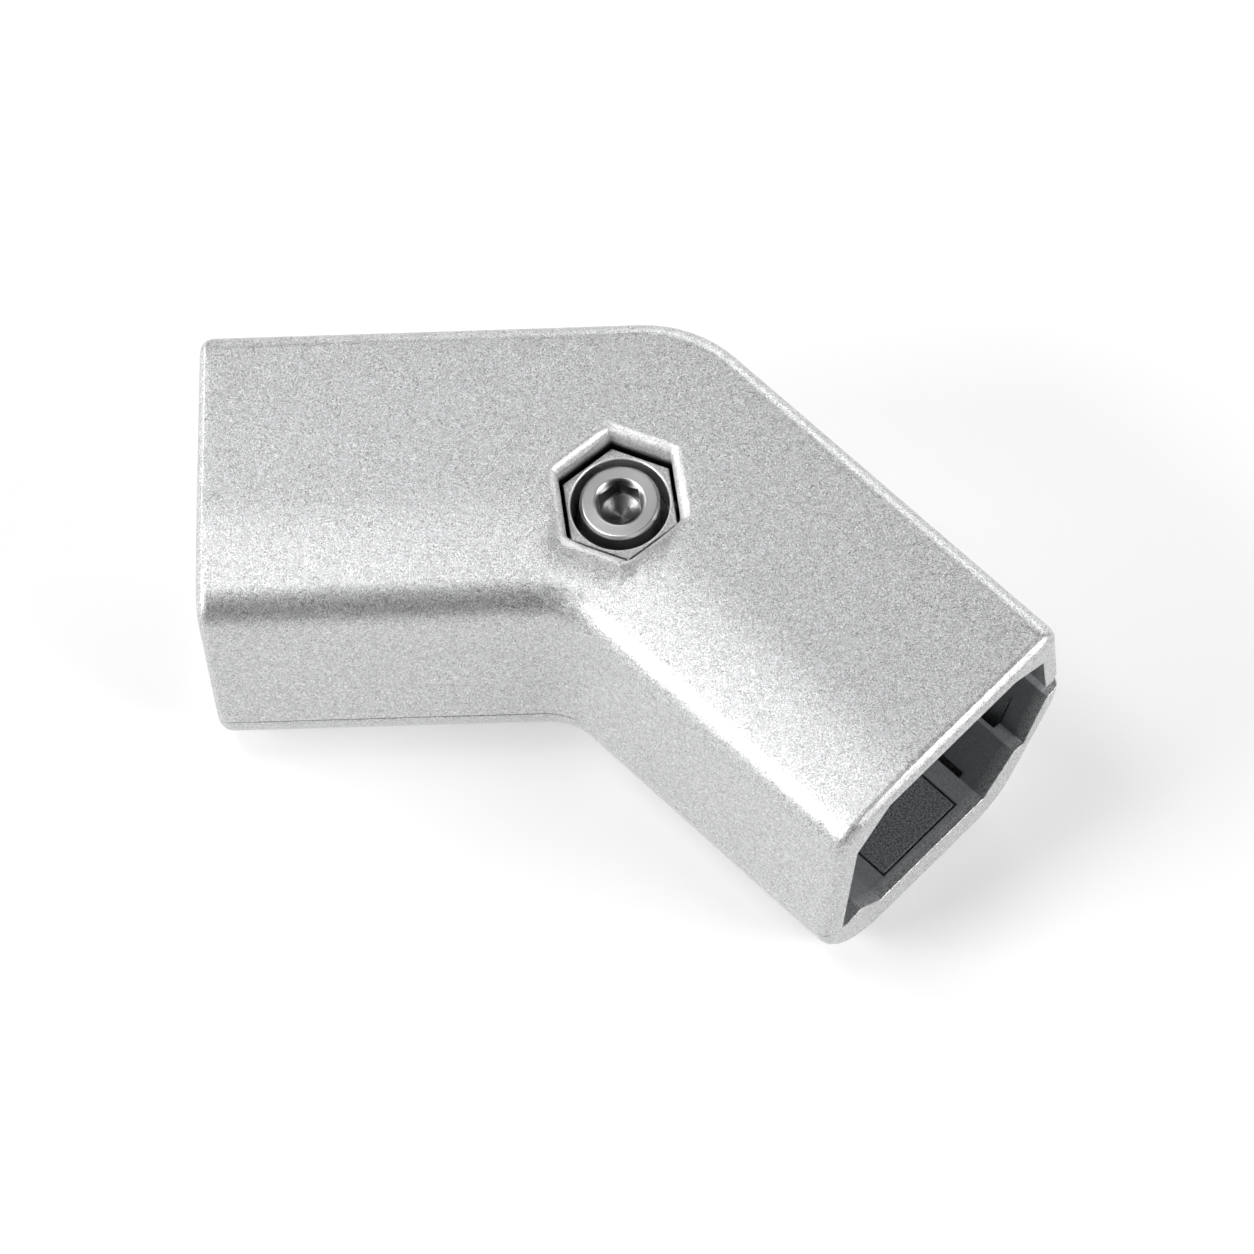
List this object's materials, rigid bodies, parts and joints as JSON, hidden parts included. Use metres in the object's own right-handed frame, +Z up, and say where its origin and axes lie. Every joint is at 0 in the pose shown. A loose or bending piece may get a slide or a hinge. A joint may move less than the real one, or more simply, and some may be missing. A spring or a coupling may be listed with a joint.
{
  "type": "angled profile connector",
  "caption": "Die-cast clamp connector that joins profile ends at 135 degrees, with half shells drawn together by a socket head screw.",
  "frame": {"origin": "crossing of the two leg centre lines, on the flat underside of the lower shell", "axes": "+Z up out of the top face along the clamp screw, legs mirrored in the YZ plane, hollow side of the bend towards -Y"},
  "size_m": [0.1138, 0.061, 0.036],
  "materials": {
    "cast_metal": "fine blasted, light silver",
    "cast_bush": "as cast, with a turned counterbore",
    "bright_steel": "turned bright",
    "black_steel": "black oxide",
    "plated_steel": "zinc plated",
    "pad_rubber": "dark grained rubber"
  },
  "bodies": {
    "lower": {"lower_shell": "cast_metal", "clamp_nut": "plated_steel", "dowel_pins": "plated_steel", "grip_pad_left": "pad_rubber", "grip_pad_right": "pad_rubber"},
    "upper": {"upper_shell": "cast_metal", "hex_bush": "cast_bush", "lock_washer": "black_steel"},
    "screw": {"clamp_screw": "bright_steel"}
  },
  "joints": [
    {"name": "shell_lift", "type": "slide", "parent": "lower", "child": "upper", "axis": [0, 0, 1], "range_m": [0, 0.002]},
    {"name": "screw_turn", "type": "hinge", "parent": "upper", "child": "screw", "pos_m": [0, -0.0044, 0], "axis": [0, 0, 1], "range_deg": [0, 720]}
  ],
  "couplings": [
    {"joint": "screw_turn", "follows": "shell_lift", "rad_per_m": 6283.2}
  ]
}
